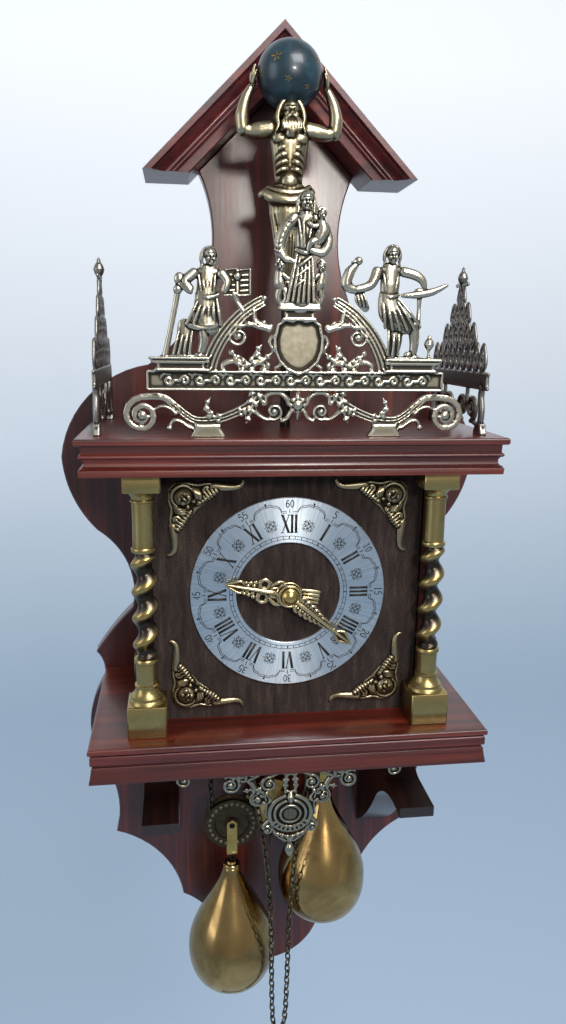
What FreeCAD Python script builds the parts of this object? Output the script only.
import FreeCAD, Part
import math
import os
import re
from types import SimpleNamespace

Vector = FreeCAD.Vector
Rotation = FreeCAD.Rotation
Placement = FreeCAD.Placement

# Driving sizes in millimetres.
# The frame's origin is the hanger hole on the wall plane, with X to the right, the wall at y = 0,
# the front of the clock at negative y, and heights measured from the hanger hole.
sizes = {
    # backboard and roof
    "board_thick": 12, "roof_apex": 60, "roof_reach": 80.4, "roof_drop": 80, "roof_width": 18.6,
    "roof_depth": 45, "hanger_hole_dia": 8, "hanger_plate_thick": 1.6, "hanger_plate_wide": 34,
    "hanger_plate_high": 20, "hanger_recess_dia": 14, "hanger_recess_deep": 7,
    "screw_dia": 3, "screw_long": 9, "screw_gap": 24,
    # the two shelves and the case between them
    "shelf_width": 229, "shelf_depth": 111, "platform_top": -162.7, "platform_lip": 3.7,
    "platform_high": 20.2, "case_high": 150.9, "base_lip": 3.6, "base_high": 21.3,
    "moulding_wide": 13, "edge_round": 1.2,
    # brackets
    "bracket_inset": 38.5, "bracket_wide": 21, "bracket_high": 109, "bracket_seat": 55,
    "tongue_drop": 30, "tongue_thick": 6.5, "tongue_reach": 106,
    # dial
    "dial_wide": 156, "dial_thick": 6, "dial_depth": 78, "dial_centre": -257, "dial_hole_dia": 12,
    "ring_outer": 114, "ring_inner": 61, "ring_thick": 1.5, "spandrel_leg": 42, "spandrel_thick": 2.2,
    "spandrel_margin": 3.5,
    # columns
    "column_inset": 32.5, "column_front": 90, "column_rear": 18, "cap_side": 20, "cap_high": 10,
    "block_side": 22, "block_high": 19, "shaft_dia": 11.7, "collar_dia": 13.6, "collar_high": 3,
    "twist_high": 62, "twist_pitch": 17, "twist_offset": 1.7, "twist_dia": 9.6,
    "upper_shaft": 34, "plinth_high": 10,
    # movement
    "plate_wide": 132, "plate_high": 120, "plate_thick": 2.5, "front_plate_depth": 66,
    "back_plate_depth": 28, "pillar_dia": 7, "pillar_x": 59, "pillar_inset": 10,
    "great_x": 33.5, "great_teeth": 42, "strike_teeth": 36, "centre_leaves": 7, "great_module": 1.43,
    "great_wheel_depth": 53, "wheel_thick": 1.8, "arbor_dia": 3, "pivot_gap": 0.05,
    "chain_depth": 43, "chain_dia": 4.4, "sprocket_radius": 11, "sprocket_flange": 12,
    "sprocket_flange_thick": 1.2, "chain_gap": 0.3,
    "motion_module": 0.75, "cannon_leaves": 8, "minute_wheel_teeth": 24,
    "hour_module": 0.6, "minute_pinion_leaves": 8, "hour_wheel_teeth": 32, "motion_thick": 1.6,
    "cannon_pipe_dia": 4.6, "hour_pipe_dia": 7.8, "minute_hand_long": 48, "hour_hand_long": 38,
    "hand_thick": 1.1, "hand_gap": 3, "boss_rise": 0.6, "nut_radius": 5, "nut_high": 3.8,
    "minute_angle": 129.8, "hour_angle": 280.8,
    # pendulum, bell and hammer
    "pendulum_depth": 7, "cock_pin_dia": 2.2, "suspension": -225, "pendulum_long": 217,
    "rod_dia": 2.2, "bob_dia": 40,
    "bob_thick": 8, "bell_depth": 42, "bell_dia": 56, "bell_high": 20, "bell_wall": 1.6, "hammer_x": 36,
    # weights, pulleys and chains
    "weight_x": 31, "pear_dia": 60, "pear_long": 95, "pulley_dia": 36, "pulley_pitch_radius": 13.5,
    "pulley_thick": 8, "pulley_groove": 5, "going_pulley_height": -429, "strike_pulley_height": -379,
    "pear_drop": 30, "going_strand_top": -232, "strike_strand_top": -212, "dead_end_lower": 63,
    "strap_thick": 1.2, "strap_wide": 7, "axle_dia": 3,
    "chain_slot_deep": 20, "chain_slot_front": 14, "pendulum_slot_wide": 50, "pendulum_slot_deep": 15,
    "free_start": -326, "coil_radius": 24, "coil_pitch": 5.4, "coil_turns": 3, "coil_height": -652,
    # side doors
    "door_thick": 4, "door_gap": 0.5, "door_inset": 33.5, "hinge_pin_dia": 2.4, "hinge_pin_long": 7,
    # castings
    "cast_thick": 3, "figure_thick": 8, "crest_depth": 100, "side_crest_inset": 10.5, "side_crest_long": 98,
    "atlas_depth": 53, "atlas_rod_dia": 6, "atlas_rod_long": 80, "globe_dia": 36,
    "globe_height": 188, "apron_depth": 98,
}

doc = FreeCAD.newDocument("dutch_wall_clock")
sheet = doc.addObject("Spreadsheet::Sheet", "sizes")
for row, (alias, value) in enumerate(sizes.items(), start=1):
    sheet.set("A%d" % row, alias)
    sheet.set("B%d" % row, str(value))
    sheet.setAlias("B%d" % row, alias)
doc.recompute()
s = SimpleNamespace(**{alias: float(sheet.get(alias)) for alias in sizes})

# Heights and depths that several pieces share
front_of_board = -s.board_thick
case_top = s.platform_top - s.platform_high
base_top = case_top - s.case_high
base_bottom = base_top - s.base_high
shelf_front = front_of_board - s.shelf_depth
dial_front = front_of_board - s.dial_depth
chain_y = front_of_board - s.chain_depth
column_x = s.shelf_width / 2 - s.column_inset
door_x = s.shelf_width / 2 - s.door_inset
# half the width of the flat-sided form that stands for a chain
chain_half = s.chain_dia / 2 * math.cos(math.pi / 4)
nodes = []


def formula(text):
    # every word of a formula names a cell of the sheet
    return re.sub(r"([a-z][a-z_]*)", r"sizes.\1", text)


def bind(piece, **formulas):
    for path, text in formulas.items():
        piece.setExpression(path.replace("__", "."), formula(text))


def move(piece, x="0", y="0", z="0"):
    bind(piece, Placement__Base__x=x, Placement__Base__y=y, Placement__Base__z=z)


def node(piece, label):
    piece.Label = label
    nodes.append(piece)
    return piece


def block(name, long, wide, high, x, y, z):
    piece = doc.addObject("Part::Box", name)
    bind(piece, Length=long, Width=wide, Height=high)
    move(piece, x, y, z)
    return piece


def rod(name, radius, high, x, y, z, turn=None):
    # a round rod: upright, or lying towards the back when turn is "y"
    piece = doc.addObject("Part::Cylinder", name)
    if turn == "y":
        piece.Placement = Placement(Vector(), Rotation(Vector(1, 0, 0), -90))
    bind(piece, Radius=radius, Height=high)
    move(piece, x, y, z)
    return piece


def prism(name, sides, radius, high, x, y, z):
    # a many-sided disc lying towards the back
    piece = doc.addObject("Part::Prism", name)
    piece.Placement = Placement(Vector(), Rotation(Vector(1, 0, 0), -90))
    piece.Polygon = sides
    bind(piece, Circumradius=radius, Height=high)
    move(piece, x, y, z)
    return piece


def joined(name, pieces):
    piece = doc.addObject("Part::MultiFuse", name)
    piece.Shapes = pieces
    return piece


def less(name, base, tool):
    piece = doc.addObject("Part::Cut", name)
    piece.Base = base
    piece.Tool = tool
    return piece


def mirrored(name, source):
    piece = doc.addObject("Part::Mirroring", name)
    piece.Source = source
    piece.Normal = Vector(1, 0, 0)
    return piece


def shaped(name, shape):
    piece = doc.addObject("Part::Feature", name)
    piece.Shape = shape
    piece.Placement = shape.Placement
    return piece


def edges_along(path):
    # a path holds points; a pair of points is an arc through the first to the second
    edges = []
    here = path[0]
    for step in path[1:]:
        if isinstance(step, list):
            middle, there = step
            edges.append(Part.Arc(Vector(*here, 0), Vector(*middle, 0), Vector(*there, 0)))
        else:
            there = step
            edges.append(Part.LineSegment(Vector(*here, 0), Vector(*there, 0)))
        here = there
    return edges


def both_sides(half):
    # the right half of an outline, from top to bottom on the centre line, closed on the left
    back = []
    points = [half[0]] + [step[1] if isinstance(step, list) else step for step in half[1:]]
    for number in range(len(half) - 1, 0, -1):
        step = half[number]
        there = (-points[number - 1][0], points[number - 1][1])
        if isinstance(step, list):
            back.append([(-step[0][0], step[0][1]), there])
        else:
            back.append(there)
    return half + [step for step in back if step != (0, points[0][1])] + [half[0]]


front_plane = Rotation(Vector(1, 0, 0), 90)
side_plane = Rotation(Vector(1, 1, 1), 120)


def sketch(name, paths, plane=None):
    piece = doc.addObject("Sketcher::SketchObject", name)
    for path in paths:
        for edge in edges_along(path):
            piece.addGeometry(edge, False)
    if plane:
        piece.Placement = Placement(Vector(), plane)
    return piece


def plank(name, paths, plane, thick, x="0", y="0", z="0"):
    # an outline drawn on a plane and pulled straight out by its thickness
    outline = sketch(name + "_outline", paths, plane)
    move(outline, x, y, z)
    piece = doc.addObject("Part::Extrusion", name)
    piece.Base = outline
    piece.DirMode = "Custom"
    piece.Dir = plane.multVec(Vector(0, 0, 1)) if plane else Vector(0, 0, 1)
    piece.Solid = True
    bind(piece, LengthFwd=thick)
    return piece


def facet_path(radius, x=0.0, z=0.0, sides=10):
    # a round outline drawn with a few straight sides, for small castings
    corners = []
    for number in range(sides):
        angle = 2 * math.pi * (number + 0.5) / sides
        corners.append((x + radius * math.cos(angle), z + radius * math.sin(angle)))
    return corners + corners[:1]


def many_sided(centre, rx, ry, sides, direction=None, turn=0.0):
    # the corners of a polygon about a point, level unless a direction is given
    if direction is None:
        u, v = Vector(1, 0, 0), Vector(0, 1, 0)
    else:
        w = Vector(direction).normalize()
        side = Vector(0, 1, 0) if abs(w.y) < 0.9 else Vector(1, 0, 0)
        u = side.cross(w).normalize()
        v = w.cross(u)
    corners = []
    for number in range(sides):
        angle = 2 * math.pi * number / sides + turn
        corners.append(centre + u * (rx * math.cos(angle)) + v * (ry * math.sin(angle)))
    return corners


def flat_face(corners):
    return Part.Face(Part.makePolygon(corners + corners[:1]))


def skinned(rings):
    # a solid through rings of corners: its sides are flat, or split in two where four corners aren't
    faces = [flat_face(rings[0]), flat_face(rings[-1])]
    for low, high in zip(rings, rings[1:]):
        for number in range(len(low)):
            following = (number + 1) % len(low)
            a, b, c, d = low[number], low[following], high[following], high[number]
            away = (c - a).dot((b - a).cross(d - a).normalize())
            if abs(away) < 1e-6:
                faces.append(flat_face([a, b, c, d]))
            else:
                faces += [flat_face([a, b, c]), flat_face([a, c, d])]
    shell = Part.makeShell(faces)
    shell.sewShape()
    solid = Part.makeSolid(shell)
    if solid.Volume < 0:
        solid.reverse()
    return solid


def swelling(sections, sides=8):
    # an upright form through level sections of height, centre x, centre y, half width, half depth
    return skinned([many_sided(Vector(x, y, z), rx, ry, sides, turn=math.pi / sides)
                    for z, x, y, rx, ry in sections])


def limb(points, radii, sides=6):
    # an arm, leg or staff through points, each with its own radius
    rings = []
    for number, point in enumerate(points):
        before = points[max(number - 1, 0)]
        after = points[min(number + 1, len(points) - 1)]
        direction = Vector(*after) - Vector(*before)
        rings.append(many_sided(Vector(*point), radii[number], radii[number], sides, direction))
    return skinned(rings)


def ball(centre, radius, sides=8):
    # a faceted ball, for heads and buds
    x, y, z = centre
    rings = [(-0.95, 0.30), (-0.6, 0.80), (0.0, 1.0), (0.6, 0.80), (0.95, 0.30)]
    return swelling([(z + radius * h, x, y, radius * r, radius * r) for h, r in rings], sides)


def lathed(x, z, sections, sides=10):
    # a form about an axis that runs front to back, through sections of depth and radius
    return skinned([many_sided(Vector(x, y, z), radius, radius, sides, (0, 1, 0), math.pi / sides)
                    for y, radius in sections])


def lying(x, z, radius, front, back, sides=10):
    return lathed(x, z, [(front, radius), (back, radius)], sides)


def bore(x, z, radius, front, back):
    # a round hole that something turns in
    return Part.makeCylinder(radius, back - front, Vector(x, front, z), Vector(0, 1, 0))


def flat(path, thick, y):
    # a casting's flat outline in the front plane, with its face at y and its back behind it
    wire = Part.Wire([edge.toShape() for edge in edges_along(path)])
    face = Part.Face(wire)
    face.rotate(Vector(), Vector(1, 0, 0), 90)
    face.translate(Vector(0, y + thick, 0))
    return face.extrude(Vector(0, -thick, 0))


def arc_band(x, z, radius, wide, start, end, thick, y):
    # a curved strap about a point, from one angle to another, in degrees from +X
    inner, outer = radius - wide / 2, radius + wide / 2
    steps = max(2, round(abs(end - start) / 30))
    angles = [math.radians(start + (end - start) * number / steps) for number in range(steps + 1)]
    path = [(x + outer * math.cos(angle), z + outer * math.sin(angle)) for angle in angles]
    path += [(x + inner * math.cos(angle), z + inner * math.sin(angle)) for angle in reversed(angles)]
    return flat(path + path[:1], thick, y)


def ring_band(x, z, radius, wide, thick, y, sides=7):
    outer = flat(facet_path(radius + wide / 2, x, z, sides), thick, y)
    return outer.cut(flat(facet_path(radius - wide / 2, x, z, sides), thick, y))


def bar(x1, z1, x2, z2, wide, thick, y):
    along = Vector(x2 - x1, z2 - z1, 0)
    across = Vector(-along.y, along.x, 0).normalize() * (wide / 2)
    corners = [(x1 + across.x, z1 + across.y), (x2 + across.x, z2 + across.y),
               (x2 - across.x, z2 - across.y), (x1 - across.x, z1 - across.y)]
    return flat(corners + corners[:1], thick, y)


def flipped(shape):
    return shape.mirror(Vector(), Vector(1, 0, 0))


def one_piece(shapes):
    return shapes[0].multiFuse(shapes[1:]).removeSplitter()


def toothed(teeth, module, thick, y, hole, turn=0.0, x=0.0, z=0.0):
    # a wheel or pinion with the pointed teeth of clockwork, thin enough to run with play
    pitch_radius = teeth * module / 2
    tip, root = pitch_radius + 0.70 * module, pitch_radius - 1.05 * module
    step = 2 * math.pi / teeth
    corners = []
    for number in range(teeth):
        for radius, angle in ((root, (number - 0.5) * step + turn), (tip, number * step + turn)):
            corners.append((x + radius * math.sin(angle), z + radius * math.cos(angle)))
    body = flat(corners + corners[:1], thick, y)
    return body.cut(bore(x, z, hole, y, y + thick)) if hole else body


def chain_form(path):
    # a chain's links lie crosswise in turn, so its outer form has four corners along the path
    wire = Part.Wire(path)
    start = wire.Edges[0]
    first = start.valueAt(start.FirstParameter)
    direction = start.tangentAt(start.FirstParameter)
    corners = many_sided(first, s.chain_dia / 2, s.chain_dia / 2, 4, direction, math.pi / 4)
    return wire.makePipeShell([Part.makePolygon(corners + corners[:1])], True, False)


# Backboard: a serpentine board with a gabled top, hollowed at the back for its hanger plate
roof_inner = s.roof_apex - s.roof_width * math.sqrt(2)
neck_x = 47.7
board_half = [
    (0, roof_inner), (neck_x, roof_inner - neck_x),
    [(39.5, -49), (46, -84)], [(58, -108), (80.8, -129.6)],
    [(117, -147.7), (136.9, -188)], [(131.5, -213), (116, -237)],
    [(95.7, -264.4), (94.7, -290.4)], [(108, -305), (120, -322)],
    [(115.2, -331), (117.5, -345)], [(126, -378), (119, -405)],
    [(109.2, -432), (111, -461)], [(77, -485.6), (64, -517)],
    [(46, -532), (36, -554)], [(21, -573), (0, -581)],
]
board_blank = plank("board_blank", [both_sides(board_half)], front_plane, "board_thick")
plate_rebate = block("plate_rebate", "hanger_plate_wide", "hanger_plate_thick", "hanger_plate_high",
                     "-hanger_plate_wide / 2", "-hanger_plate_thick", "-hanger_plate_high / 2")
hanger_recess = rod("hanger_recess", "hanger_recess_dia / 2", "hanger_recess_deep",
                    "0", "-hanger_recess_deep", "0", "y")


def hanger_screw(name, side):
    # a flat-headed screw, flush with the hanger plate
    x = "%d * screw_gap / 2" % side
    shank = prism(name + "_shank", 8, "screw_dia / 2", "screw_long", x, "-screw_long", "0")
    head = prism(name + "_head", 8, "screw_dia", "hanger_plate_thick / 2", x, "-hanger_plate_thick / 2", "0")
    return joined(name, [shank, head])


screws = [hanger_screw("screw_left", -1), hanger_screw("screw_right", 1)]
screw_set = joined("screw_set", screws)
board_cuts = joined("board_cuts", [plate_rebate, hanger_recess, screw_set])
node(less("backboard", board_blank, board_cuts), "backboard")
plate_blank = block("hanger_plate_blank", "hanger_plate_wide", "hanger_plate_thick", "hanger_plate_high",
                    "-hanger_plate_wide / 2", "-hanger_plate_thick", "-hanger_plate_high / 2")
hanger_hole = rod("hanger_hole", "hanger_hole_dia / 2", "hanger_plate_thick",
                  "0", "-hanger_plate_thick", "0", "y")
plate_cuts = joined("plate_cuts", [hanger_hole, screw_set])
node(less("wall_hanger_plate", plate_blank, plate_cuts), "wall_hanger_plate")
node(screw_set, "hanger_screws")


# Roof: a crown moulding on each slope, mitred at the apex and cut level at the eaves
def roof_side():
    w, deep = s.roof_width, s.roof_depth
    profile = [(0, 0), (0, -deep), (-0.19 * w, -deep), (-0.19 * w, -deep + 2.2),
               [(-0.34 * w, -deep + 3.6), (-0.56 * w, -deep + 6.2)], (-0.60 * w, -deep + 4.2),
               [(-0.68 * w, -deep + 3.2), (-0.76 * w, -deep + 4.4)], (-0.76 * w, -deep + 6.4),
               (-w, -deep + 7.6), (-w, 0), (0, 0)]
    wire = Part.Wire([edge.toShape() for edge in edges_along(profile)])
    face = Part.Face(wire)
    # local x becomes the outward normal of the slope and local y stays depth
    face.rotate(Vector(), Vector(0, 1, 0), -45)
    along = Vector(1, 0, -1).normalize()
    face.translate(Vector(0, 0, s.roof_apex) - along * s.roof_width * 2)
    long = face.extrude(along * (s.roof_reach * 2))
    keep = Part.makeBox(s.roof_reach + 40, s.roof_depth + 2, s.roof_drop + 2,
                        Vector(0, -s.roof_depth - 1, s.roof_apex - s.roof_drop))
    return long.common(keep)


roof_right = node(shaped("roof_moulding_right", roof_side()), "roof_moulding_right")
node(mirrored("roof_moulding_left", roof_right), "roof_moulding_left")


# Shelves: each is a board with a thin rounded lip and a moulding mitred round its core
def shelf_board(name, top, lip, high, slots):
    half_wide = "shelf_width / 2"
    lip_box = block(name + "_lip", "shelf_width", "shelf_depth", lip, "-" + half_wide,
                    "-board_thick - shelf_depth", top + " - " + lip)
    doc.recompute()
    rounded = doc.addObject("Part::Fillet", name + "_lip_rounded")
    rounded.Base = lip_box
    edges = []
    for number, edge in enumerate(lip_box.Shape.Edges, start=1):
        box = edge.BoundBox
        at_back = box.YMax > front_of_board - 0.01 and box.YLength < 0.01
        level = box.ZLength < 0.01
        if level and not at_back:
            edges.append((number, s.edge_round, s.edge_round))
    rounded.Edges = edges
    core = block(name + "_core", "shelf_width - 2 * moulding_wide", "shelf_depth - moulding_wide",
                 high + " - " + lip, "-" + half_wide + " + moulding_wide",
                 "-board_thick - shelf_depth + moulding_wide", top + " - " + high)
    whole = joined(name + "_solid", [rounded, core])
    return less(name, whole, joined(name + "_slots", slots)) if slots else whole


def shelf_moulding(name, top, bottom, steps):
    # steps are the moulding's face: how far in from the shelf's edge, and how far down
    half = s.shelf_width / 2
    path = [(-half, front_of_board), (-half, shelf_front), (half, shelf_front), (half, front_of_board)]
    spine = doc.addObject("Part::Feature", name + "_spine")
    spine.Shape = Part.makePolygon([Vector(x, y, top) for x, y in path])
    face = [(-half + steps[0][0], top)]
    for step in steps[1:]:
        if isinstance(step, list):
            face.append([(-half + inset, top - down) for inset, down in step])
        else:
            face.append((-half + step[0], top - step[1]))
    face += [(-half + s.moulding_wide, bottom), (-half + s.moulding_wide, top), face[0]]
    profile = sketch(name + "_profile", [face], front_plane)
    profile.Placement.Base = Vector(0, front_of_board, 0)
    piece = doc.addObject("Part::Sweep", name)
    piece.Sections = [profile]
    piece.Spine = (spine, ["Edge1", "Edge2", "Edge3"])
    piece.Solid = True
    piece.Transition = "Right corner"
    return piece


node(shelf_board("upper_platform", "platform_top", "platform_lip", "platform_high", []), "upper_platform")
cornice_high = s.platform_high - s.platform_lip
cornice_steps = [(3.2, 0), (3.4, 4.6), (2.4, 5.0), [(1.9, 5.9), (2.4, 6.8)], (3.8, 7.2),
                 [(4.6, 9.4), (3.2, 11.4)], (2.2, 11.8), (2.6, 12.3), (1.6, 12.7),
                 (2.0, cornice_high)]
node(shelf_moulding("upper_cornice", s.platform_top - s.platform_lip, case_top, cornice_steps),
     "upper_cornice")

# the chains and the pendulum pass through the base board
slot_half = "(pulley_pitch_radius + chain_dia / 2 + 2)"
base_slots = []
for side, word in ((-1, "left"), (1, "right")):
    base_slots.append(block("chain_slot_" + word, "2 * " + slot_half, "chain_slot_deep", "base_high + 2",
                            "%d * weight_x - " % side + slot_half,
                            "-board_thick - chain_depth - chain_slot_front",
                            "platform_top - platform_high - case_high - base_high - 1"))
base_slots.append(block("pendulum_slot", "pendulum_slot_wide", "pendulum_slot_deep + 1", "base_high + 2",
                        "-pendulum_slot_wide / 2", "-board_thick - pendulum_slot_deep",
                        "platform_top - platform_high - case_high - base_high - 1"))
base_board = shelf_board("base_board", "platform_top - platform_high - case_high", "base_lip", "base_high",
                         base_slots)
node(base_board, "base_board")
base_moulding_high = s.base_high - s.base_lip
base_steps = [(2.4, 0), (2.4, 0.8), (1.0, 1.2), (1.0, 6.4), (2.6, 7.0), (2.6, 7.8), (1.6, 8.2),
              [(0.9, 13.0), (0.2, base_moulding_high - 0.8)], (0.6, base_moulding_high)]
node(shelf_moulding("base_moulding", base_top - s.base_lip, base_bottom, base_steps), "base_moulding")

# Brackets: a scrolled cheek under the base, with a tongue that reaches forward
tongue_top = base_bottom - s.tongue_drop
tongue_front = front_of_board - s.tongue_reach
seat_front = front_of_board - s.bracket_seat
foot = base_bottom - s.bracket_high
bracket_side = [
    (front_of_board, base_bottom), (seat_front, base_bottom),
    [(seat_front - 5, tongue_top + 9), (seat_front - 20, tongue_top)],
    (tongue_front, tongue_top), (tongue_front, tongue_top - s.tongue_thick),
    [(seat_front - 18, tongue_top - 10), (seat_front + 5, tongue_top - 28)],
    [(front_of_board - 26, foot + 22), (front_of_board, foot)],
    (front_of_board, base_bottom),
]
bracket_right = plank("bracket_right", [bracket_side], side_plane, "bracket_wide",
                      "shelf_width / 2 - bracket_inset - bracket_wide / 2")
node(bracket_right, "bracket_right")
node(mirrored("bracket_left", bracket_right), "bracket_left")

# Dial: a cloth-covered board, the silvered chapter ring and four cast corner pieces
dial_blank = block("dial_blank", "dial_wide", "dial_thick", "case_high", "-dial_wide / 2",
                   "-board_thick - dial_depth", "platform_top - platform_high - case_high")
dial_hole = rod("dial_hole", "dial_hole_dia / 2", "dial_thick", "0", "-board_thick - dial_depth",
                "dial_centre", "y")
node(less("dial_plate", dial_blank, dial_hole), "dial_plate")
ring_disc = prism("ring_disc", 60, "ring_outer / 2", "ring_thick", "0",
                  "-board_thick - dial_depth - ring_thick", "dial_centre")
ring_bore = prism("ring_bore", 60, "ring_inner / 2", "ring_thick", "0",
                  "-board_thick - dial_depth - ring_thick", "dial_centre")
node(less("chapter_ring", ring_disc, ring_bore), "chapter_ring")


def spandrel():
    # one corner, drawn from its outer corner inwards, with two curling legs and a raised mask
    leg = s.spandrel_leg
    path = [(0.04 * leg, 0.02 * leg), (0.55 * leg, 0.0), (leg, 0.05 * leg), (0.82 * leg, 0.13 * leg),
            (0.64 * leg, 0.18 * leg), (0.54 * leg, 0.32 * leg), (0.44 * leg, 0.44 * leg),
            (0.32 * leg, 0.54 * leg), (0.18 * leg, 0.64 * leg), (0.13 * leg, 0.82 * leg),
            (0.05 * leg, leg), (0.0, 0.55 * leg), (0.04 * leg, 0.02 * leg)]
    plate = flat(path, s.spandrel_thick, -s.spandrel_thick)
    mask = lathed(0.22 * leg, 0.22 * leg, [(-s.spandrel_thick - 3.0, 2.5), (-s.spandrel_thick - 1.0, 5.5),
                                           (-0.2, 6.5)], 8)
    return plate.fuse(mask).removeSplitter()


def corner_spandrels():
    lower_left = spandrel()
    x0 = -s.dial_wide / 2 + s.block_side / 2 - 6 + s.spandrel_margin
    z0 = base_top + s.spandrel_margin + 3
    lower_left.translate(Vector(x0, dial_front, z0))
    middle = (case_top + base_top) / 2
    upper_left = lower_left.mirror(Vector(0, 0, middle), Vector(0, 0, 1))
    left = [lower_left, upper_left]
    return Part.makeCompound(left + [flipped(shape) for shape in left])


node(shaped("corner_spandrels", corner_spandrels()), "corner_spandrels")


# Columns: square cap and block, turned shafts and collars, and a barley twist between
def column(x, y):
    top, bottom = case_top, base_top
    cap = Part.makeBox(s.cap_side, s.cap_side, s.cap_high,
                       Vector(x - s.cap_side / 2, y - s.cap_side / 2, top - s.cap_high))
    block_solid = Part.makeBox(s.block_side, s.block_side, s.block_high,
                               Vector(x - s.block_side / 2, y - s.block_side / 2, bottom))
    r, collar = s.shaft_dia / 2, s.collar_dia / 2
    twist_top = top - s.cap_high - s.upper_shaft
    twist_bottom = twist_top - s.twist_high
    cap_low, block_top = top - s.cap_high, bottom + s.block_high
    upper = [(cap_low - 4.5, r), (cap_low - 1.4, r + 0.9), (cap_low, s.cap_side / 2 - 1)]
    neck = [(twist_top, r - 0.8), (twist_top + 0.4, collar), (twist_top + s.collar_high - 0.6, collar),
            (twist_top + s.collar_high, r)]
    waist = [(twist_bottom - s.collar_high, r), (twist_bottom - s.collar_high + 0.6, collar),
             (twist_bottom - 0.4, collar), (twist_bottom, r - 0.8)]
    plinth = [(block_top, s.block_side / 2 - 0.8), (block_top + s.plinth_high - 2.5, s.block_side / 2 - 1.6),
              (block_top + s.plinth_high, r)]
    solids = [cap, block_solid]
    for turning in (neck + upper, plinth + waist):
        solids.append(swelling([(z, x, y, radius, radius) for z, radius in turning], 8))
    per_turn = 7
    stations = int(round(s.twist_high / s.twist_pitch * per_turn))
    rings = []
    for number in range(stations + 1):
        angle = 2 * math.pi * number / per_turn
        z = twist_bottom + s.twist_high * number / stations
        centre = Vector(x + s.twist_offset * math.cos(angle), y + s.twist_offset * math.sin(angle), z)
        rings.append(many_sided(centre, s.twist_dia / 2, s.twist_dia / 2, 6))
    solids.append(skinned(rings))
    return solids[0].multiFuse(solids[1:])


front_column_y = front_of_board - s.column_front
rear_column_y = front_of_board - s.column_rear
for word, x, y in (("front_left", -column_x, front_column_y), ("front_right", column_x, front_column_y),
                   ("rear_left", -column_x, rear_column_y), ("rear_right", column_x, rear_column_y)):
    node(shaped("column_" + word, column(x, y)), "column_" + word)


# Cresting on the platform: a pierced front casting with figures, and a pierced fret on each side
crest_y = front_of_board - s.crest_depth - s.cast_thick
floor = s.platform_top


def draped_figure(x, y, z, high, lean=0.0):
    # a robed standing or seated figure on its base, with a rounded head
    w = high * 0.24
    deep = s.figure_thick / 2
    form = swelling([
        (z, x, y, w, deep), (z + 0.10 * high, x, y, w * 0.95, deep),
        (z + 0.35 * high, x + lean * 0.3, y, w * 0.72, deep),
        (z + 0.52 * high, x + lean * 0.6, y, w * 0.55, deep * 0.8),
        (z + 0.68 * high, x + lean * 0.8, y, w * 0.70, deep * 0.9),
        (z + 0.78 * high, x + lean, y, w * 0.55, deep * 0.7),
        (z + 0.84 * high, x + lean, y, w * 0.22, deep * 0.45)])
    head = ball((x + lean, y, z + 0.92 * high), 0.085 * high)
    neck = limb([(x + lean, y, z + 0.80 * high), (x + lean, y, z + 0.90 * high)], [w * 0.2, w * 0.2])
    return [form, neck, head]


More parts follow.
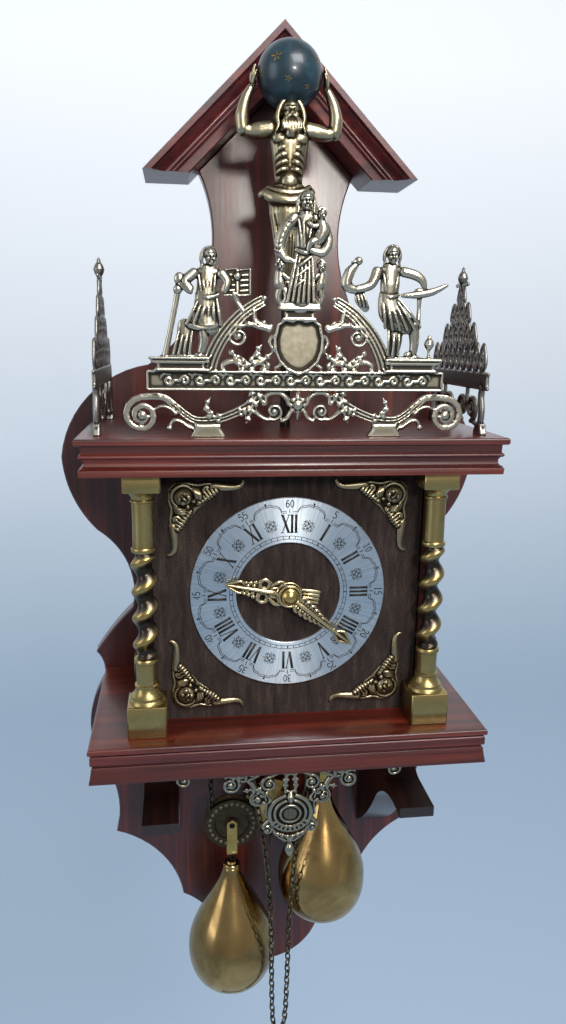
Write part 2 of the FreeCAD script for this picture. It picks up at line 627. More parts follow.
def front_crest():
    t, y = s.cast_thick, crest_y
    mid_y = y + t / 2

    def up(height):
        return floor + height

    half = []
    # foot, lower strap and end volute
    half.append(flat([(37.7, up(0)), (55.7, up(0)), (54.2, up(7)), (39.2, up(7)), (37.7, up(0))], t, y))
    half.append(ring_band(81.5, up(11.5), 8.2, 3.4, t, y))
    half.append(ring_band(83.0, up(8.5), 3.4, 2.6, t, y))
    half.append(arc_band(62.0, up(31.0), 24.0, 3.6, 208, 282, t, y))
    half.append(bar(82.0, up(20.6), 68.0, up(15.0), 3.4, t, y))
    half.append(bar(69.0, up(15.6), 53.0, up(5.6), 3.8, t, y))
    half.append(arc_band(50.0, up(34.0), 29.0, 4.4, 190, 262, t, y))
    half.append(arc_band(32.0, up(24.5), 12.0, 3.0, 178, 300, t, y))
    half.append(ring_band(14.5, up(14.0), 6.6, 2.8, t, y))
    half.append(ring_band(17.0, up(9.4), 3.0, 2.2, t, y))
    half.append(bar(8.0, up(19.0), 4.0, up(25.0), 3.0, t, y))
    half.append(bar(20.5, up(17.0), 24.0, up(25.0), 3.0, t, y))
    # broken pediment: shelf, steps and quarter arch
    half.append(flat([(54.0, up(33.5)), (77.0, up(33.5)), (77.0, up(37.5)), (75.0, up(38.2)),
                      (75.0, up(41.5)), (54.0, up(41.5)), (54.0, up(33.5))], t + 1.6, y - 0.8))
    half.append(arc_band(19.5, up(33.0), 37.0, 5.2, 2, 88, t + 1.2, y - 0.6))
    half.append(arc_band(19.5, up(33.0), 31.0, 1.8, 6, 84, t, y))
    half.append(bar(22.0, up(70.5), 25.0, up(63.0), 2.2, t, y))
    half.append(bar(19.5, up(67.5), 19.5, up(72.6), 3.2, t + 1.2, y - 0.6))
    # scrollwork between the shield and the arch
    half.append(arc_band(19.5, up(66.0), 8.0, 2.2, 200, 300, t, y))
    half.append(ring_band(31.0, up(50.5), 5.2, 2.4, t, y))
    half.append(ring_band(33.2, up(49.0), 2.2, 1.8, t, y))
    half.append(arc_band(21.0, up(44.0), 9.5, 2.6, 10, 150, t, y))
    half.append(bar(24.0, up(33.5), 34.0, up(46.0), 3.0, t, y))
    half.append(bar(12.0, up(46.0), 24.0, up(38.0), 3.0, t, y))
    half.append(bar(24.0, up(38.0), 44.0, up(52.0), 2.6, t, y))
    half.append(bar(12.0, up(56.0), 26.0, up(54.0), 2.4, t, y))
    # child at the foot of the standing figure
    half += [swelling([(up(66.5), 9.3, mid_y, 4.0, 3.2), (up(75), 9.0, mid_y, 3.2, 2.8),
                       (up(83.5), 8.4, mid_y, 2.6, 2.2)], 6), ball((9.0, mid_y, up(86.0)), 3.0, 6)]
    shapes = list(half) + [flipped(shape) for shape in half]
    # banner, rosette, shield and pedestal
    shapes.append(flat([(-77.5, up(24)), (77.5, up(24)), (77.5, up(34)), (-77.5, up(34)),
                        (-77.5, up(24))], t + 1.2, y - 0.6))
    shapes.append(flat(facet_path(5.0, 0, up(19.5), 8), t + 1.0, y - 0.5))
    shield = [(-12.5, up(59)), (-6, up(58.4)), (0, up(61.6)), (6, up(58.4)), (12.5, up(59)),
              (12.0, up(46)), (7.6, up(38)), (0, up(33)), (-7.6, up(38)), (-12.0, up(46)), (-12.5, up(59))]
    shapes.append(flat(shield, t + 1.0, y - 0.5))
    shapes.append(flat([(-9.5, up(58)), (9.5, up(58)), (12.5, up(66.8)), (-12.5, up(66.8)),
                        (-9.5, up(58))], t + 3.0, y - 1.5))
    # standing figure holding a child, and the two seated figures
    shapes += draped_figure(0, mid_y, up(66.5), 55.5)
    shapes.append(swelling([(up(92), 7.4, mid_y - 1.5, 3.2, 2.6), (up(99), 8.0, mid_y - 1.5, 3.8, 2.8),
                            (up(106), 7.0, mid_y - 1.5, 2.2, 2.0)], 6))
    shapes.append(ball((7.6, mid_y - 1.5, up(107.6)), 2.9, 6))
    shapes.append(limb([(-4, mid_y, up(108)), (-10.5, mid_y, up(98)), (-7, mid_y, up(90))],
                       [2.6, 2.4, 1.8]))
    left = draped_figure(-54.0, mid_y, up(41), 51.0, 6.0)
    left.append(limb([(-69.0, mid_y, up(41)), (-64.5, mid_y, up(74))], [1.6, 1.5]))
    left.append(limb([(-50, mid_y, up(78)), (-58, mid_y, up(74)), (-65.5, mid_y, up(72))],
                     [2.6, 2.2, 1.8]))
    left.append(flat([(-42.5, up(66)), (-26.5, up(66)), (-26.5, up(78)), (-42.5, up(78)),
                      (-42.5, up(66))], t - 1.0, y + 0.5))
    left.append(bar(-46, up(76), -38, up(70), 4.0, t, y))
    left.append(bar(-33.0, up(67), -33.0, up(61), 3.0, t, y))
    right = draped_figure(53.0, mid_y, up(41), 51.0, -5.0)
    right.append(limb([(48, mid_y, up(80)), (43, mid_y, up(73)), (37, mid_y, up(69.5)),
                       (31, mid_y, up(70)), (28.5, mid_y, up(75)), (31, mid_y, up(82))],
                      [2.4, 2.3, 2.2, 2.1, 2.0, 2.4]))
    right.append(ball((31, mid_y, up(83.5)), 2.6, 6))
    right.append(limb([(50, mid_y, up(80)), (60, mid_y, up(74)), (68, mid_y, up(73))], [2.4, 2.2, 1.6]))
    right.append(limb([(57, mid_y, up(70)), (66, mid_y, up(71)), (77, mid_y, up(76))], [1.2, 2.2, 1.0]))
    right.append(limb([(63.5, mid_y, up(41)), (63.5, mid_y, up(72))], [1.4, 1.4]))
    right.append(ball((71.5, mid_y, up(49.0)), 2.8, 6))
    right.append(bar(71.5, up(40), 71.5, up(48), 1.8, t, y))
    return one_piece(shapes + left + right)


def side_crest():
    # a pyramid of pierced lobes on a rail, drawn across and then turned to run front to back
    t, y = s.cast_thick, 0.0
    half_long = s.side_crest_long / 2
    half = [
        flat([(half_long - 14, 0), (half_long - 2, 0), (half_long - 4, 6), (half_long - 12, 6),
              (half_long - 14, 0)], t, y),
        limb([(half_long - 8, t / 2, 5), (half_long - 8, t / 2, 14), (half_long - 8, t / 2, 25)],
             [2.0, 3.4, 2.0]),
        ring_band(half_long - 22, 13.5, 7.4, 3.0, t, y),
        ring_band(12.0, 14.5, 7.4, 3.0, t, y),
        bar(half_long - 14, 3, half_long - 22, 8, 3.0, t, y),
        bar(19.5, 14, 20.5, 14, 6.0, t, y),
        bar(18.5, 19, 19.5, 25, 3.0, t, y),
        ring_band(half_long - 9, 41.0, 6.0, 3.2, t, y),
        ring_band(25.0, 43.0, 8.0, 3.6, t, y),
        ring_band(9.0, 43.0, 7.4, 3.4, t, y),
        ring_band(20.0, 58.5, 6.4, 3.4, t, y),
        ring_band(8.0, 63.0, 7.6, 3.4, t, y),
        ring_band(8.2, 76.5, 4.2, 2.8, t, y),
        bar(half_long - 7, 33, half_long - 7, 37, 4.0, t, y),
        bar(33.5, 43, 36.0, 42, 5.0, t, y),
    ]
    shapes = half + [flipped(shape) for shape in half]
    shapes.append(flat([(-half_long, 24), (half_long, 24), (half_long, 34), (-half_long, 34),
                        (-half_long, 24)], t + 1.0, y - 0.5))
    shapes.append(limb([(0, t / 2, 24), (0, t / 2, 50), (0, t / 2, 80), (0, t / 2, 93)],
                       [3.0, 2.6, 3.2, 0.8]))
    shapes.append(bar(-9, 82.5, 9, 82.5, 3.0, t, y))
    piece = one_piece(shapes)
    piece.rotate(Vector(), Vector(0, 0, 1), 90)
    middle = front_of_board - s.crest_depth / 2 - 1.5
    piece.translate(Vector((s.shelf_width / 2 - s.side_crest_inset) + t / 2, middle, floor))
    return piece


node(shaped("front_crest", front_crest()), "front_crest")
side_right = node(shaped("side_crest_right", side_crest()), "side_crest_right")
node(mirrored("side_crest_left", side_right), "side_crest_left")

# Atlas on his rod behind the crest, with the globe on his neck and hands
atlas_y = front_of_board - s.atlas_depth
atlas_foot = floor + s.atlas_rod_long
node(rod("atlas_rod", "atlas_rod_dia / 2", "atlas_rod_long", "0", "-board_thick - atlas_depth",
         "platform_top"), "atlas_rod")
globe_z = floor + s.globe_height


def globe():
    # rings of latitude, each a level section
    radius, rings = s.globe_dia / 2, 10
    levels = [math.pi * (number + 0.25) / (rings - 0.5) - math.pi / 2 for number in range(rings)]
    return swelling([(globe_z + radius * math.sin(a), 0, atlas_y, radius * math.cos(a), radius * math.cos(a))
                     for a in levels], 20)


node(shaped("globe", globe()), "globe")


def atlas_figure():
    y, z = atlas_y, atlas_foot
    shapes = [
        swelling([(z, 0, y, 4.5, 4.5), (z + 12, 0, y, 7.0, 6.0), (z + 30, 0.5, y, 9.5, 7.5),
                  (z + 44, 0.5, y, 12.0, 8.5), (z + 48, 0, y, 11.0, 8.0), (z + 52, 0, y, 9.2, 6.6),
                  (z + 64, 0, y - 0.5, 9.6, 6.8), (z + 76, 0, y - 0.5, 12.0, 7.0),
                  (z + 83, 0, y - 0.5, 9.5, 6.0), (z + 87, 0, y - 1.0, 5.0, 5.0)], 10),
        swelling([(z + 72, 0, y - 6.0, 3.2, 2.6), (z + 80, 0, y - 7.0, 6.0, 4.4),
                  (z + 88, 0, y - 6.5, 7.8, 6.2), (z + 95, 0, y - 6.0, 7.2, 6.4),
                  (z + 100, 0, y - 5.5, 4.0, 4.0)], 10),
    ]
    hand_z = globe_z - 3
    arm = limb([(8, y, z + 80), (17, y + 1, z + 78), (25, y, z + 81), (24.5, y - 1, z + 90),
                (20.5, y, hand_z - 5), (19.6, y, hand_z + 4)], [4.2, 3.6, 3.6, 3.0, 2.4, 1.6], 8)
    shapes += [arm, flipped(arm)]
    shapes.append(limb([(9, y, z + 46), (13.5, y, z + 40), (14.5, y, z + 26), (12, y, z + 20)],
                       [3.0, 3.0, 2.4, 1.0]))
    figure = one_piece(shapes)
    return figure.cut(globe())


node(shaped("atlas_figure", atlas_figure()), "atlas_figure")


# Lower apron: a shell mask between scrolls, hung under the base moulding
def lower_apron():
    t = s.cast_thick
    y = front_of_board - s.apron_depth - t
    top = base_bottom
    half = [
        arc_band(66, top + 2.0, 8.0, 3.0, 200, 340, t, y),
        arc_band(52, top + 2.5, 7.0, 3.0, 205, 335, t, y),
        flat([(30, top), (74, top), (74, top - 2.2), (30, top - 2.2), (30, top)], t, y),
        ring_band(30, top - 8.5, 5.0, 3.0, t, y),
        ring_band(18, top - 8.0, 4.6, 2.8, t, y),
        arc_band(8, top - 1.0, 12.0, 3.4, 265, 352, t, y),
        arc_band(22, top - 14.0, 8.0, 3.2, 180, 330, t, y),
        bar(26, top - 4, 22, top - 12, 3.0, t, y),
        bar(15, top - 13, 9.0, top - 25, 3.4, t, y),
        flat([(0, top), (34, top), (34, top - 5.0), (0, top - 5.0), (0, top)], t, y),
    ]
    shapes = half + [flipped(shape) for shape in half]
    shapes.append(flat(facet_path(12.5, 0, top - 33, 14), t + 1.0, y - 0.5))
    shapes.append(flat(facet_path(8.0, 0, top - 33, 10), t + 3.0, y - 1.5))
    shapes.append(flat([(-7, top - 4), (7, top - 4), (5, top - 24), (-5, top - 24), (-7, top - 4)], t, y))
    shapes.append(flat([(-8, top - 43), (8, top - 43), (5, top - 49), (0, top - 52), (-5, top - 49),
                        (-8, top - 43)], t, y))
    shapes.append(swelling([(top - 62, 0, y + t / 2, 0.8, 0.8), (top - 57, 0, y + t / 2, 2.8, 2.2),
                            (top - 50, 0, y + t / 2, 2.0, 1.6)], 8))
    above = Part.makeBox(s.shelf_width, 3 * t, 20, Vector(-s.shelf_width / 2, y - t, top))
    return one_piece(shapes).cut(above)


node(shaped("lower_apron", lower_apron()), "lower_apron")

# Movement: two plates and four pillars standing on the base board
front_plate_y = front_of_board - s.front_plate_depth
back_plate_y = front_of_board - s.back_plate_depth
pivot = s.arbor_dia / 2
bearing = pivot + s.pivot_gap
great_z = s.dial_centre - math.sqrt(
    (s.great_module * (s.great_teeth + s.centre_leaves) / 2) ** 2 - s.great_x ** 2)
minute_wheel_z = s.dial_centre - s.motion_module * (s.cannon_leaves + s.minute_wheel_teeth) / 2
hammer_z = base_top + s.plate_high - 12


def plate_with_holes(name, y, holes):
    # a plate standing on the base board, with its front face at y
    body = doc.addObject("PartDesign::Body", name)
    plane = [f for f in body.Origin.OriginFeatures if f.Role == "XZ_Plane"][0]
    profile = body.newObject("Sketcher::SketchObject", name + "_outline")
    profile.AttachmentSupport = (plane, [""])
    profile.MapMode = "FlatFace"
    profile.AttachmentOffset = Placement(Vector(0, 0, -y - s.plate_thick), Rotation())
    half, top = s.plate_wide / 2, base_top + s.plate_high
    outline = [(-half, base_top), (half, base_top), (half, top), (-half, top), (-half, base_top)]
    for edge in edges_along(outline):
        profile.addGeometry(edge, False)
    for x, z, radius in holes:
        profile.addGeometry(Part.Circle(Vector(x, z, 0), Vector(0, 0, 1), radius), False)
    pad = body.newObject("PartDesign::Pad", name + "_pad")
    pad.Profile = profile
    bind(pad, Length="plate_thick")
    return body


great_holes = [(-s.great_x, great_z, bearing), (s.great_x, great_z, bearing)]
centre_hole = [(0, s.dial_centre, bearing)]
hammer_hole = [(s.hammer_x, hammer_z, bearing)]
anchor_hole = [(0, s.suspension, bearing)]
node(plate_with_holes("movement_front_plate", front_plate_y,
                      great_holes + centre_hole + hammer_hole + anchor_hole
                      + [(0, minute_wheel_z, bearing)]), "movement_front_plate")
node(plate_with_holes("movement_back_plate", back_plate_y,
                      great_holes + centre_hole + hammer_hole + anchor_hole), "movement_back_plate")
pillars = []
for side in (-1, 1):
    for word, height in (("upper", "plate_high - pillar_inset"), ("lower", "pillar_inset")):
        pillars.append(prism("pillar_%s_%s" % (word, "left" if side < 0 else "right"), 10, "pillar_dia / 2",
                             "front_plate_depth - back_plate_depth - plate_thick", "%d * pillar_x" % side,
                             "-board_thick - front_plate_depth + plate_thick",
                             "platform_top - platform_high - case_high + " + height))
pillar_set = doc.addObject("Part::Compound", "movement_pillars")
pillar_set.Links = pillars
node(pillar_set, "movement_pillars")


def plain_bored(x, z, radius, hole, front, thick):
    return lying(x, z, radius, front, front + thick, 14).cut(bore(x, z, hole, front, front + thick))


great_y = front_of_board - s.great_wheel_depth
hour_hand_y = dial_front - s.ring_thick - s.hand_gap
minute_hand_y = hour_hand_y - s.hand_gap
end_play = 0.3
arbor_front = front_plate_y
arbor_back = back_plate_y + s.plate_thick


def great_arbor(side, teeth):
    # chain wheel with two flanges and a great wheel, on one arbor; the strike's clears the centre pinion
    x = side * s.great_x
    hub = s.sprocket_radius - chain_half - s.chain_gap
    half_gap = chain_half + 2 * s.chain_gap
    mesh_angle = math.atan2(-x, s.dial_centre - great_z)
    shapes = [
        lying(x, great_z, pivot, arbor_front, arbor_back),
        lying(x, great_z, 3.2, front_plate_y + s.plate_thick + end_play, back_plate_y - end_play),
        lying(x, great_z, hub, chain_y - half_gap, chain_y + half_gap, 16),
        lying(x, great_z, s.sprocket_flange, chain_y - half_gap - s.sprocket_flange_thick, chain_y - half_gap,
              16),
        lying(x, great_z, s.sprocket_flange, chain_y + half_gap, chain_y + half_gap + s.sprocket_flange_thick,
              16),
        toothed(int(teeth), s.great_module, s.wheel_thick, great_y, 0, turn=mesh_angle, x=x, z=great_z),
    ]
    return one_piece(shapes)


node(shaped("going_arbor", great_arbor(-1, s.great_teeth)), "going_arbor")
node(shaped("strike_arbor", great_arbor(1, s.strike_teeth)), "strike_arbor")


def centre_arbor():
    # the pinion's teeth face the gaps of the great wheel at rest
    mesh = math.atan2(-s.great_x, great_z - s.dial_centre)
    turn = mesh + math.pi / s.centre_leaves
    pinion = toothed(int(s.centre_leaves), s.great_module, s.wheel_thick + 4, great_y - 2, 0,
                     turn=turn, z=s.dial_centre)
    front_end = minute_hand_y - s.boss_rise - 1.8
    shapes = [
        lying(0, s.dial_centre, pivot, front_end, arbor_back),
        lying(0, s.dial_centre, 2.4, front_plate_y + s.plate_thick + end_play, back_plate_y - end_play),
        pinion,
    ]
    return one_piece(shapes)


node(shaped("centre_arbor", centre_arbor()), "centre_arbor")

# Motion work between the front plate and the dial, and the hands in front of the ring
plane_one = front_plate_y - 0.5 - s.motion_thick
plane_two = plane_one - 0.6 - s.motion_thick
cannon_bore = pivot + s.pivot_gap
cannon_pipe = s.cannon_pipe_dia / 2
hour_bore = cannon_pipe + s.pivot_gap
hour_pipe = s.hour_pipe_dia / 2


def cannon_pinion():
    pinion = toothed(int(s.cannon_leaves), s.motion_module, s.motion_thick, plane_one, cannon_bore,
                     turn=math.pi / s.cannon_leaves, z=s.dial_centre)
    pipe = plain_bored(0, s.dial_centre, cannon_pipe, cannon_bore, minute_hand_y,
                       plane_one - minute_hand_y + 0.4)
    hub = plain_bored(0, s.dial_centre, cannon_pipe, cannon_bore, plane_one, s.motion_thick)
    return one_piece([pinion, pipe, hub])


def hour_wheel():
    wheel = toothed(int(s.hour_wheel_teeth), s.hour_module, s.motion_thick, plane_two, hour_bore,
                    turn=math.pi / s.hour_wheel_teeth, z=s.dial_centre)
    pipe = plain_bored(0, s.dial_centre, hour_pipe, hour_bore, hour_hand_y,
                       plane_two - hour_hand_y + 0.4)
    return one_piece([wheel, pipe])


def minute_wheel():
    wheel = toothed(int(s.minute_wheel_teeth), s.motion_module, s.motion_thick, plane_one, 0,
                    z=minute_wheel_z)
    pinion = toothed(int(s.minute_pinion_leaves), s.hour_module, s.motion_thick + 0.6, plane_two, 0,
                     z=minute_wheel_z)
    stud = lying(0, minute_wheel_z, pivot, plane_one, arbor_front + s.plate_thick)
    return one_piece([wheel, pinion, stud])


node(shaped("cannon_pinion", cannon_pinion()), "cannon_pinion")
node(shaped("hour_wheel", hour_wheel()), "hour_wheel")
node(shaped("minute_wheel", minute_wheel()), "minute_wheel")


def pierced_hand(long, y, hub, angle, tail, hole):
    # drawn pointing up: a boss, a pierced body and a leaf point, and a short fringed tail
    half = [(0.10 * long, -tail), (0.075 * long, 0.02 * long), (0.15 * long, 0.18 * long),
            (0.07 * long, 0.34 * long), (0.13 * long, 0.47 * long), (0.05 * long, 0.60 * long),
            (0.03 * long, 0.74 * long), (0.07 * long, 0.84 * long)]
    path = half + [(0, long)] + [(-x, z) for x, z in reversed(half)]
    blade = flat(path + path[:1], s.hand_thick, y)
    boss = lying(0, 0, hub, y - s.boss_rise, y + s.hand_thick, 16)
    hand = blade.fuse(boss)
    for side in (-1, 1):
        eye = flat(facet_path(0.035 * long, side * 0.062 * long, 0.22 * long, 6), s.hand_thick, y)
        hand = hand.cut(eye)
    hand = hand.cut(bore(0, 0, hole, y - s.boss_rise, y + s.hand_thick)).removeSplitter()
    hand.rotate(Vector(), Vector(0, 1, 0), angle)
    hand.translate(Vector(0, 0, s.dial_centre))
    return hand


node(shaped("hour_hand", pierced_hand(s.hour_hand_long, hour_hand_y, 7.0, s.hour_angle, 16.0, hour_pipe)),
     "hour_hand")
node(shaped("minute_hand", pierced_hand(s.minute_hand_long, minute_hand_y, 6.6, s.minute_angle, 6.0,
                                        cannon_pipe)), "minute_hand")


def hand_nut():
    front = minute_hand_y - s.boss_rise
    dome = lathed(0, s.dial_centre, [(front - s.nut_high, 0.3 * s.nut_radius),
                                     (front - 0.8 * s.nut_high, 0.7 * s.nut_radius),
                                     (front - 0.3 * s.nut_high, s.nut_radius), (front, s.nut_radius)], 12)
    return dome.cut(bore(0, s.dial_centre, pivot + s.pivot_gap, front - 2, front))


node(shaped("hand_nut", hand_nut()), "hand_nut")

# Pallets, crutch and pendulum, all about the suspension's line
pendulum_y = front_of_board - s.pendulum_depth
bob_z = s.suspension - s.pendulum_long


def anchor_and_crutch():
    pallets_y = front_of_board - 34
    shapes = [
        lying(0, s.suspension, pivot, front_plate_y, back_plate_y + 6),
        lying(0, s.suspension, 2.4, front_plate_y + s.plate_thick + end_play, back_plate_y - end_play),
        arc_band(0, s.suspension - 12, 13.0, 3.0, 25, 155, 2.0, pallets_y),
        bar(11.6, s.suspension - 7, 9.5, s.suspension - 13, 2.4, 2.0, pallets_y),
        bar(-11.6, s.suspension - 7, -9.5, s.suspension - 13, 2.4, 2.0, pallets_y),
        bar(0, s.suspension, 0, s.suspension - 38, 2.4, 1.6, back_plate_y + s.plate_thick + 1.0),
        lying(-3.0, s.suspension - 36, 0.8, back_plate_y + s.plate_thick + 1.0, pendulum_y + 3),
        lying(3.0, s.suspension - 36, 0.8, back_plate_y + s.plate_thick + 1.0, pendulum_y + 3),
        bar(-3.6, s.suspension - 36, 3.6, s.suspension - 36, 2.0, 1.6, back_plate_y + s.plate_thick + 1.0),
    ]
    return one_piece(shapes)


node(shaped("anchor_and_crutch", anchor_and_crutch()), "anchor_and_crutch")
cock_thick = 2.0
cock = block("cock_bridge", "26", "2", "10", "-13", "-board_thick - pendulum_depth + 4", "suspension - 5")
cock_leg_y = "-board_thick - back_plate_depth + plate_thick"
cock_legs = []
for side, x in (("left", "-13"), ("right", "10")):
    cock_legs.append(block("cock_leg_" + side, "3",
                           "back_plate_depth - pendulum_depth - plate_thick + 5", "10", x, cock_leg_y,
                           "suspension - 5"))
cock_pin = prism("cock_pin", 10, "cock_pin_dia / 2", "9", "0", "-board_thick - pendulum_depth - 4.5",
                 "suspension")
node(joined("suspension_cock", [cock] + cock_legs + [cock_pin]), "suspension_cock")


def pendulum_rod():
    top, low = s.suspension, bob_z - s.bob_dia / 2 - 12
    eye = s.cock_pin_dia / 2 + s.pivot_gap
    loop = lying(0, top, 3.0, pendulum_y - 0.6, pendulum_y + 0.6, 12)
    straight = limb([(0, pendulum_y, low), (0, pendulum_y, top - 2.2)], [s.rod_dia / 2, s.rod_dia / 2], 8)
    return one_piece([loop, straight]).cut(bore(0, top, eye, pendulum_y - 0.6, pendulum_y + 0.6))


node(shaped("pendulum_rod", pendulum_rod()), "pendulum_rod")
bob_half = s.bob_thick / 2


def pendulum_bob():
    r, low = s.bob_dia / 2, bob_z - s.bob_dia / 2
    lens = lathed(0, bob_z, [(pendulum_y - bob_half, 0.35 * r), (pendulum_y - 0.75 * bob_half, 0.7 * r),
                             (pendulum_y - 0.6, r), (pendulum_y + 0.6, r),
                             (pendulum_y + 0.75 * bob_half, 0.7 * r), (pendulum_y + bob_half, 0.35 * r)], 20)
    rod_space = limb([(0, pendulum_y, low - 5), (0, pendulum_y, bob_z + r + 1)],
                     [s.rod_dia / 2, s.rod_dia / 2], 8)
    rating_nut = limb([(0, pendulum_y, low - 3.2), (0, pendulum_y, low - 0.2)], [3.4, 3.4], 8)
    return Part.makeCompound([lens.cut(rod_space), rating_nut.cut(rod_space)])


node(shaped("pendulum_bob", pendulum_bob()), "pendulum_bob")

# Bell under the case top, and its hammer
bell_y = front_of_board - s.bell_depth
bell_top = case_top - 2
r_bell = s.bell_dia / 2


def bell():
    # a bowl open downwards, hung by its crown
    def bowl(radius, crown):
        low = bell_top - s.bell_high
        return swelling([(low, 0, bell_y, radius, radius),
                         (low + 0.40 * s.bell_high, 0, bell_y, 0.93 * radius, 0.93 * radius),
                         (low + 0.75 * s.bell_high, 0, bell_y, 0.72 * radius, 0.72 * radius),
                         (crown, 0, bell_y, 0.30 * radius, 0.30 * radius)], 20)
    hollow = bowl(r_bell - s.bell_wall, bell_top - s.bell_wall)
    hole = limb([(0, bell_y, bell_top - 3), (0, bell_y, bell_top + 1)], [1.6, 1.6], 8)
    return bowl(r_bell, bell_top).cut(hollow).cut(hole)


def bell_post():
    def disc(low, high, radius):
        return limb([(0, bell_y, low), (0, bell_y, high)], [radius, radius], 8)
    return one_piece([disc(case_top - 8, case_top, 1.6), disc(bell_top, case_top, 3.6),
                      disc(bell_top - s.bell_wall - 2, bell_top - s.bell_wall, 3.6)])


node(shaped("bell", bell()), "bell")
node(shaped("bell_post", bell_post()), "bell_post")


def hammer():
    head_z = bell_top - s.bell_high + 2.5
    head_x = r_bell + 6.2
    shapes = [
        lying(s.hammer_x, hammer_z, pivot, front_plate_y, arbor_back),
        lying(s.hammer_x, hammer_z, 2.2, front_plate_y + s.plate_thick + end_play, back_plate_y - end_play),
        limb([(s.hammer_x, bell_y, hammer_z), (head_x, bell_y, head_z)], [1.2, 1.2]),
        limb([(head_x - 4.2, bell_y, head_z), (head_x + 4.8, bell_y, head_z)], [3.4, 3.4], 8),
    ]
    return one_piece(shapes)


node(shaped("hammer", hammer()), "hammer")

# Weights: a pear on a hook, a stirrup, and the grooved pulley that hangs in the chain
axle = s.axle_dia / 2


def pulley_wheel(x, z):
    # two rims with the chain's groove between them
    r, half, edge = s.pulley_dia / 2, s.pulley_thick / 2, s.pulley_groove / 2
    groove = s.pulley_pitch_radius - chain_half - s.chain_gap
    rims = [lying(x, z, r, chain_y - half, chain_y - edge, 20), lying(x, z, r, chain_y + edge, chain_y + half, 20)]
    wheel = one_piece([lying(x, z, groove, chain_y - edge, chain_y + edge, 20)] + rims)
    return wheel.cut(bore(x, z, axle + s.pivot_gap, chain_y - half, chain_y + half))


def stirrup(x, z):
    half, t, w = s.pulley_thick / 2 + 0.4, s.strap_thick, s.strap_wide
    yoke = z - s.pulley_dia / 2 - 2.0
    hook_end = z - s.pear_drop
    shapes = [lying(x, z, axle, chain_y - half - t - 0.6, chain_y + half + t + 0.6, 12)]
    for front in (chain_y - half - t, chain_y + half):
        shapes.append(lying(x, z, w / 2, front, front + t))
        shapes.append(Part.makeBox(w, t, z - yoke + t, Vector(x - w / 2, front, yoke - t)))
    shapes.append(Part.makeBox(w, 2 * (half + t), t, Vector(x - w / 2, chain_y - half - t, yoke - t)))
    shapes.append(limb([(x, chain_y, hook_end), (x, chain_y, yoke)], [1.4, 1.4], 8))
    return one_piece(shapes)


def pear(x, z):
    # z is the height of the pear's own top: a neck, a long hollow shoulder and a round belly
    r, full = s.pear_dia / 2, s.pear_long
    shape = [(1.0, 0.20), (0.975, 0.50), (0.90, 0.80), (0.80, 0.955), (0.69, 1.0), (0.58, 0.965),
             (0.45, 0.81), (0.32, 0.59), (0.20, 0.38), (0.11, 0.245), (0.05, 0.19), (0.035, 0.15), (0.0, 0.11)]
    return swelling([(z - full * down, x, chain_y, r * wide, r * wide) for down, wide in shape], 20)


def chain_loop(x, z, side, strand_top):
    # the strand from the chain wheel, the turn under the pulley, and the strand to the fixed end
    r = s.pulley_pitch_radius * side
    outer, inner = Vector(x + r, chain_y, z), Vector(x - r, chain_y, z)
    path = [Part.makeLine(Vector(x + r, chain_y, strand_top), outer),
            Part.Arc(outer, Vector(x, chain_y, z - s.pulley_pitch_radius), inner).toShape(),
            Part.makeLine(inner, Vector(x - r, chain_y, strand_top - s.dead_end_lower))]
    return chain_form(path)


for word, side, height, strand_top in (("going", -1, s.going_pulley_height, s.going_strand_top),
                                       ("strike", 1, s.strike_pulley_height, s.strike_strand_top)):
    x = side * s.weight_x
    node(shaped(word + "_pulley", pulley_wheel(x, height)), word + "_pulley")
    node(shaped(word + "_stirrup", stirrup(x, height)), word + "_stirrup")
    node(shaped(word + "_weight", pear(x, height - s.pear_drop)), word + "_weight")
    node(shaped(word + "_chain_loop", chain_loop(x, height, side, strand_top)), word + "_chain_loop")


def chain_over_wheel(side):
    # the stretch lying on the chain wheel, and down its inner side to the slot in the base
    x, r = side * s.great_x, s.sprocket_radius
    clear = math.radians(55)
    start = Vector(x + side * r * math.cos(clear), chain_y, great_z + r * math.sin(clear))
    crown = Vector(x, chain_y, great_z + r)
    inner = Vector(x - side * r, chain_y, great_z)
    low = Vector(x - side * r, chain_y, s.free_start)
    return chain_form([Part.Arc(start, crown, Vector(x - side * r * math.cos(math.radians(30)), chain_y,
                                               great_z + r * math.sin(math.radians(30)))).toShape(),
                 Part.Arc(Vector(x - side * r * math.cos(math.radians(30)), chain_y,
                                 great_z + r * math.sin(math.radians(30))),
                          Vector(x - side * r * math.cos(math.radians(15)), chain_y,
                                 great_z + r * math.sin(math.radians(15))), inner).toShape(),
                 Part.makeLine(inner, low)])


node(shaped("chains_on_wheels", Part.makeCompound([chain_over_wheel(-1), chain_over_wheel(1)])),
     "chains_on_wheels")


# Free ends of the chains: straight runs joined by tangent arcs
def rounded_route(name, points):
    corners = [Vector(*point) for point in points]
    pieces = []
    here = corners[0]
    radii = []
    for before, corner, after in zip(corners, corners[1:], corners[2:]):
        into, out = corner - before, after - corner
        turn = into.getAngle(out)
        radius = 0.45 * min(into.Length, out.Length) / math.tan(turn / 2)
        radii.append(round(radius, 1))
        back = radius * math.tan(turn / 2)
        first = corner - Vector(into).normalize() * back
        last = corner + Vector(out).normalize() * back
        bisector = (Vector(out).normalize() - Vector(into).normalize()).normalize()
        centre = corner + bisector * (radius / math.cos(turn / 2))
        middle = centre - bisector * radius
        pieces.append(Part.makeLine(here, first))
        pieces.append(Part.Arc(first, middle, last).toShape())
        here = last
    pieces.append(Part.makeLine(here, corners[-1]))
    print(name, "radii of the bends", radii, "length", round(sum(p.Length for p in pieces), 1))
    return pieces


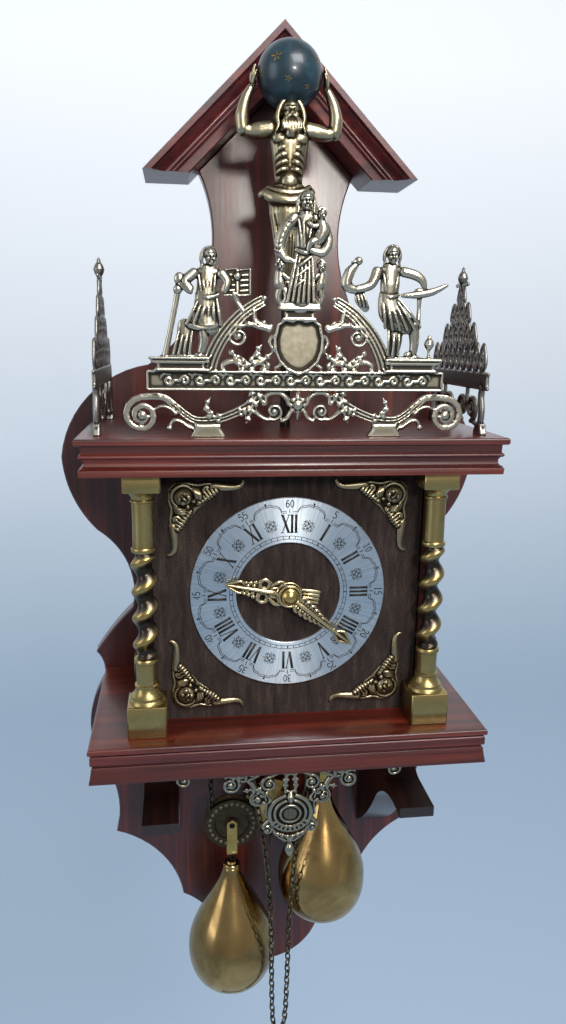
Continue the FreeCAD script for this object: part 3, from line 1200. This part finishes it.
inner_x = s.great_x - s.sprocket_radius
coil_side = 6.0
coil_x = coil_side + s.coil_radius
free_y = -74.0
coil_start = s.coil_height
# the going chain starts at the left slot and ends at the right coil; the other mirrors it
going_route = [
    (-inner_x, chain_y, s.free_start), (-inner_x, chain_y, -341), (-21.6, -66.0, -367),
    (-17.5, -72.0, -396), (-11.0, -77.4, -432), (-6.5, -78.6, -480), (-5.6, -77.8, -530),
    (-4.6, -77.4, -574), (0.8, -78.6, -600), (coil_side, free_y, -624), (coil_side, free_y, coil_start),
]
strike_route = [
    (inner_x, chain_y, s.free_start), (inner_x, chain_y, -341), (21.4, -66.5, -367),
    (16.5, -73.0, -398), (9.5, -77.6, -434), (5.8, -78.2, -482), (5.2, -77.0, -532),
    (4.6, -74.8, -576), (-0.8, -71.2, -601), (-coil_side, free_y, -625), (-coil_side, free_y, coil_start),
]


def coil_route(side):
    # loops that wind back towards the wall: half turns, each tangent to the next at its ends
    edges = []
    crown = math.hypot(s.coil_radius, s.coil_pitch / 4)

    def at(half_turns):
        x = coil_x - s.coil_radius * math.cos(math.pi * half_turns)
        return Vector(side * x, free_y + s.coil_pitch * half_turns / 2, s.coil_height)

    for number in range(int(2 * s.coil_turns)):
        start, end = at(number), at(number + 1)
        down = -1 if number % 2 == 0 else 1
        middle = (start + end) / 2 + Vector(0, 0, down * crown)
        edges.append(Part.Arc(start, middle, end).toShape())
    return edges


for word, side, route in (("going", 1, going_route), ("strike", -1, strike_route)):
    free = chain_form(rounded_route(word, route))
    node(shaped(word + "_chain_free", free), word + "_chain_free")
    coil = chain_form(coil_route(side))
    node(shaped(word + "_chain_coil", coil), word + "_chain_coil")


def least_gap(edges):
    # between points of the coil that lie more than half a turn apart
    per_edge = 24
    points = [edge.valueAt(edge.FirstParameter + (edge.LastParameter - edge.FirstParameter) * number / per_edge)
              for edge in edges for number in range(per_edge)]
    nearest = min((points[b] - points[a]).Length for a in range(len(points))
                  for b in range(a + per_edge, len(points)))
    return round(nearest - s.chain_dia, 2)


print("least gap between the turns of a coil", least_gap(coil_route(1)))

# Side doors between the columns, each on two pins at its rear edge
pin_y = rear_column_y - s.block_side / 2 - 4
door_rear = pin_y + 2.5
door_front = front_column_y + s.block_side / 2 + 1
door_low, door_high = base_top + s.door_gap, case_top - s.door_gap
pin_r = s.hinge_pin_dia / 2


def side_door():
    t = s.door_thick
    x = door_x - t / 2
    panel = Part.makeBox(t, door_rear - door_front, door_high - door_low, Vector(x, door_front, door_low))
    field = Part.makeBox(1.2, door_rear - door_front - 16, door_high - door_low - 20,
                         Vector(x + t - 1.2, door_front + 8, door_low + 10))
    panel = panel.cut(field)
    for z in (door_low, door_high - s.hinge_pin_long):
        panel = panel.cut(Part.makeCylinder(pin_r + s.pivot_gap, s.hinge_pin_long, Vector(door_x, pin_y, z)))
    middle = (door_low + door_high) / 2
    knob = limb([(x + t - 1, door_front + 4, middle), (x + t + 2.4, door_front + 4, middle),
                 (x + t + 3.4, door_front + 4, middle), (x + t + 5.8, door_front + 4, middle)],
                [1.6, 1.6, 3.0, 2.2], 8)
    return panel.fuse(knob)


door_right = node(shaped("side_door_right", side_door()), "side_door_right")
node(mirrored("side_door_left", door_right), "side_door_left")
pins = []
for side in (-1, 1):
    for low, high in ((base_top, door_low + s.hinge_pin_long - 0.5),
                      (door_high - s.hinge_pin_long + 0.5, case_top)):
        x = side * door_x
        pins.append(limb([(x, pin_y, low), (x, pin_y, high)], [pin_r, pin_r], 12))
node(shaped("door_hinge_pins", Part.makeCompound(pins)), "door_hinge_pins")

doc.recompute()

# Every object must have built, and every sub-part must be a sound solid
failed = [piece.Label for piece in doc.Objects if "Invalid" in piece.State or "Error" in piece.State]
if failed:
    raise SystemExit("failed objects: " + ", ".join(failed))
for piece in nodes:
    shape = piece.Shape
    if shape.isNull() or not shape.isValid() or not shape.Solids or shape.Volume <= 0:
        raise SystemExit("bad shape: " + piece.Label)

os.makedirs("parts", exist_ok=True)
for piece in nodes:
    piece.Shape.exportStep("parts/" + piece.Label + ".step")
print(len(nodes), "sub-parts written")
